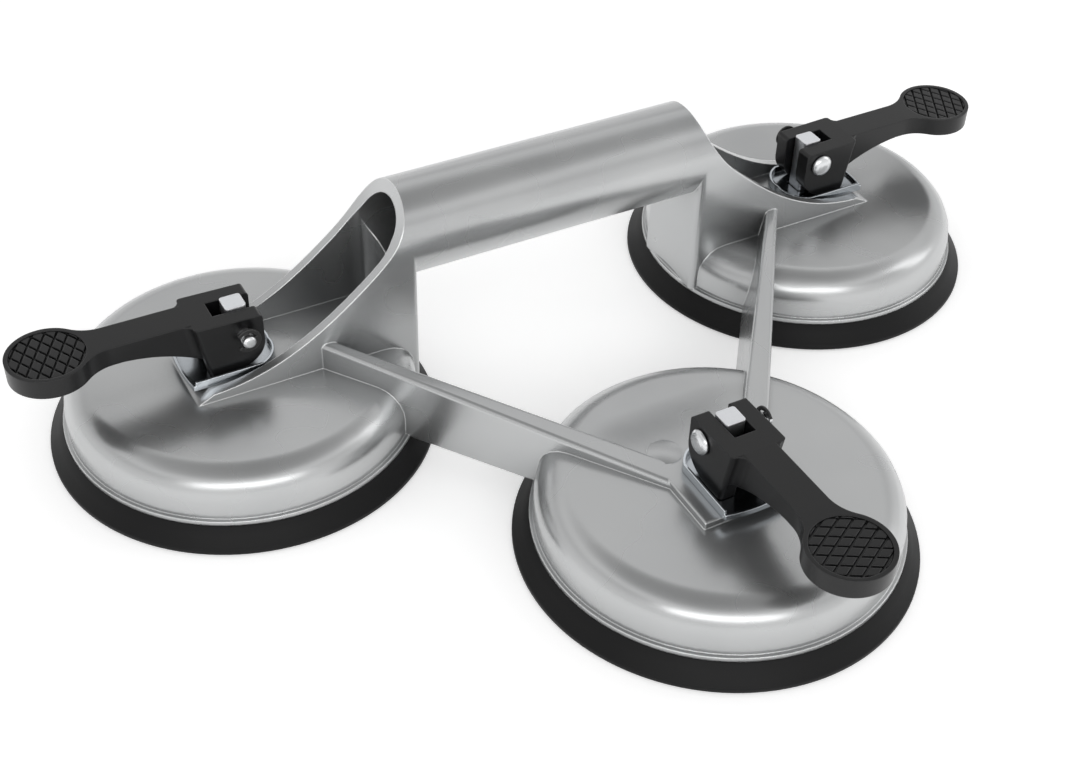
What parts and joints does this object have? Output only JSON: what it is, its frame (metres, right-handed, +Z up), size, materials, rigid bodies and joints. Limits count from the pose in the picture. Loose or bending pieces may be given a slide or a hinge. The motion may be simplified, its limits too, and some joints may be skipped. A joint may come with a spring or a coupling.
{
  "type": "suction lifter",
  "caption": "Hand-held vacuum suction lifter for floor tiles and glass: a cast frame with a tube handle carries rubber cups in round domes, each drawn up by a flip lever.",
  "frame": {"origin": "centre of the bounding box on the surface that the rubber cups stand on", "axes": "+X along the tube handle, towards the right cup; +Y from the front cup towards the handle; +Z up, away from the tile"},
  "size_m": [0.3394, 0.2336, 0.0715],
  "materials": {
    "casting": "satin die-cast aluminium",
    "rubber": "matte black moulded rubber",
    "zinc": "bright zinc with a sheared top",
    "zinc_plate": "bright bluish zinc plating",
    "lever_plastic": "satin black moulded plastic",
    "pin_steel": "bright zinc plated",
    "clip_black": "black oxide spring steel"
  },
  "bodies": {
    "frame": {"frame_casting": "casting", "left_rubber_cup": "rubber", "left_saddle_plate": "zinc_plate", "right_rubber_cup": "rubber", "right_saddle_plate": "zinc_plate", "front_rubber_cup": "rubber", "front_saddle_plate": "zinc_plate"},
    "left_stem": {"left_pull_stem": "zinc", "left_pivot_pin": "pin_steel", "left_e_clip": "clip_black", "left_rubber_web": "rubber"},
    "left_lever": {"left_lever": "lever_plastic"},
    "right_stem": {"right_pull_stem": "zinc", "right_pivot_pin": "pin_steel", "right_e_clip": "clip_black", "right_rubber_web": "rubber"},
    "right_lever": {"right_lever": "lever_plastic"},
    "front_stem": {"front_pull_stem": "zinc", "front_pivot_pin": "pin_steel", "front_e_clip": "clip_black", "front_rubber_web": "rubber"},
    "front_lever": {"front_lever": "lever_plastic"}
  },
  "joints": [
    {"name": "left_stem_slide", "type": "slide", "parent": "frame", "child": "left_stem", "axis": [0, 0, -1], "range_m": [0, 0.00671], "deforming": ["left_rubber_web"]},
    {"name": "left_lever_hinge", "type": "hinge", "parent": "left_stem", "child": "left_lever", "pos_m": [-0.1032, 0.05783, 0.0398], "axis": [0, 1, 0], "range_deg": [0, 90]},
    {"name": "right_stem_slide", "type": "slide", "parent": "frame", "child": "right_stem", "axis": [0, 0, -1], "range_m": [0, 0.00671], "deforming": ["right_rubber_web"]},
    {"name": "right_lever_hinge", "type": "hinge", "parent": "right_stem", "child": "right_lever", "pos_m": [0.1032, 0.05783, 0.0398], "axis": [0, -1, 0], "range_deg": [0, 90]},
    {"name": "front_stem_slide", "type": "slide", "parent": "frame", "child": "front_stem", "axis": [0, 0, -1], "range_m": [0, 0.00671], "deforming": ["front_rubber_web"]},
    {"name": "front_lever_hinge", "type": "hinge", "parent": "front_stem", "child": "front_lever", "pos_m": [0, -0.05028, 0.0398], "axis": [-1, 0, 0], "range_deg": [0, 90]}
  ],
  "couplings": [
    {"joint": "left_stem_slide", "follows": "left_lever_hinge", "m_per_rad": 0.0042654},
    {"joint": "right_stem_slide", "follows": "right_lever_hinge", "m_per_rad": 0.0042654},
    {"joint": "front_stem_slide", "follows": "front_lever_hinge", "m_per_rad": 0.0042654}
  ]
}
